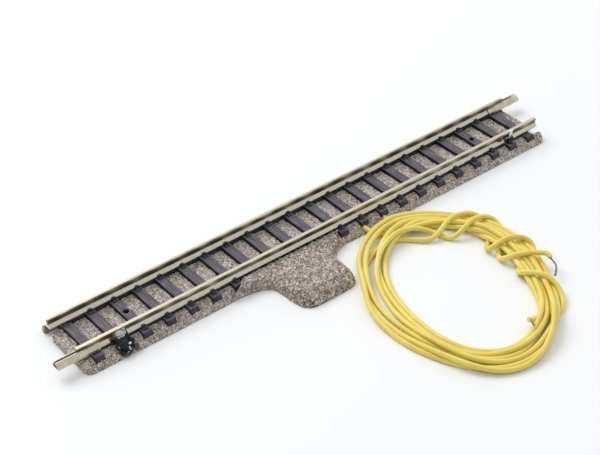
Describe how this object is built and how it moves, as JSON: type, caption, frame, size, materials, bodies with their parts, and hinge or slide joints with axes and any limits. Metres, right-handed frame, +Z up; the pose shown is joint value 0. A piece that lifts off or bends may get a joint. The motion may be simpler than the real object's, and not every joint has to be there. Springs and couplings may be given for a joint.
{
  "type": "model railway switching track",
  "caption": "Straight ballasted model railway track section with a switching contact in a side mound, push-on rail joiners and a pair of thin leads wound into a hank.",
  "frame": {"origin": "centre of the ballast bed's underside", "axes": "+X along the track towards the end whose far rail carries a joiner, +Y away from the contact mound, +Z up"},
  "size_m": [0.1196, 0.0631, 0.0044],
  "materials": {
    "ballast": "beige-grey plastic moulded as fine ballast grains",
    "mound_ballast": "coarser grey-brown ballast grains",
    "sleeper_plastic": "dark wood-grain moulding with weathered tops",
    "nickel_silver": "drawn nickel silver, bright on the head",
    "joiner_sheet": "folded pale sheet metal, satin",
    "solder": "grey solder with a bright fillet",
    "black_sealant": "glossy black",
    "tinned_strip": "tinned, bright",
    "base_plastic": "plain dark plastic",
    "board_laminate": "green laminate",
    "copper": "bare copper",
    "reed_glass": "clear greenish glass",
    "reed_alloy": "plated nickel-iron",
    "lead_insulation": "yellow insulation with a soft sheen",
    "tinned_wire": "tinned stranded copper"
  },
  "bodies": {
    "track": {"ballast_bed": "ballast", "sleeper_grid": "sleeper_plastic", "far_rail": "nickel_silver", "near_rail": "nickel_silver", "left_solder_joint": "solder", "right_solder_joint": "solder", "left_sealant": "black_sealant", "right_sealant": "black_sealant", "rail_bond_strip": "tinned_strip", "mound_cover": "mound_ballast", "mound_base_plate": "base_plastic", "contact_board": "board_laminate", "board_tracks": "copper", "board_solder_beads": "solder", "reed_glass": "reed_glass", "reed_lead_left": "reed_alloy", "reed_lead_right": "reed_alloy", "lead_a_core": "copper", "lead_b_core": "copper", "lead_a_tube": "lead_insulation", "lead_b_tube": "lead_insulation", "lead_hank": "lead_insulation", "lead_a_tinned_end": "tinned_wire", "lead_b_tinned_end": "tinned_wire"},
    "left_joiner": {"left_rail_joiner": "joiner_sheet"},
    "right_joiner": {"right_rail_joiner": "joiner_sheet"},
    "left_blade": {"reed_blade_left": "reed_alloy"},
    "right_blade": {"reed_blade_right": "reed_alloy"}
  },
  "joints": [
    {"name": "left_joiner_slide", "type": "slide", "parent": "track", "child": "left_joiner", "axis": [1, 0, 0], "range_m": [-0.004, 0.0025]},
    {"name": "right_joiner_slide", "type": "slide", "parent": "track", "child": "right_joiner", "axis": [1, 0, 0], "range_m": [-0.0025, 0.004]},
    {"name": "left_blade_flex", "type": "hinge", "parent": "track", "child": "left_blade", "pos_m": [-0.01155, -0.013, 0.00134], "axis": [0, 1, 0], "range_deg": [0, 0.7], "stiffness_Nm_per_rad": 0.0001},
    {"name": "right_blade_flex", "type": "hinge", "parent": "track", "child": "right_blade", "pos_m": [-0.00785, -0.013, 0.00116], "axis": [0, 1, 0], "range_deg": [0, 0.7], "stiffness_Nm_per_rad": 0.0001}
  ]
}
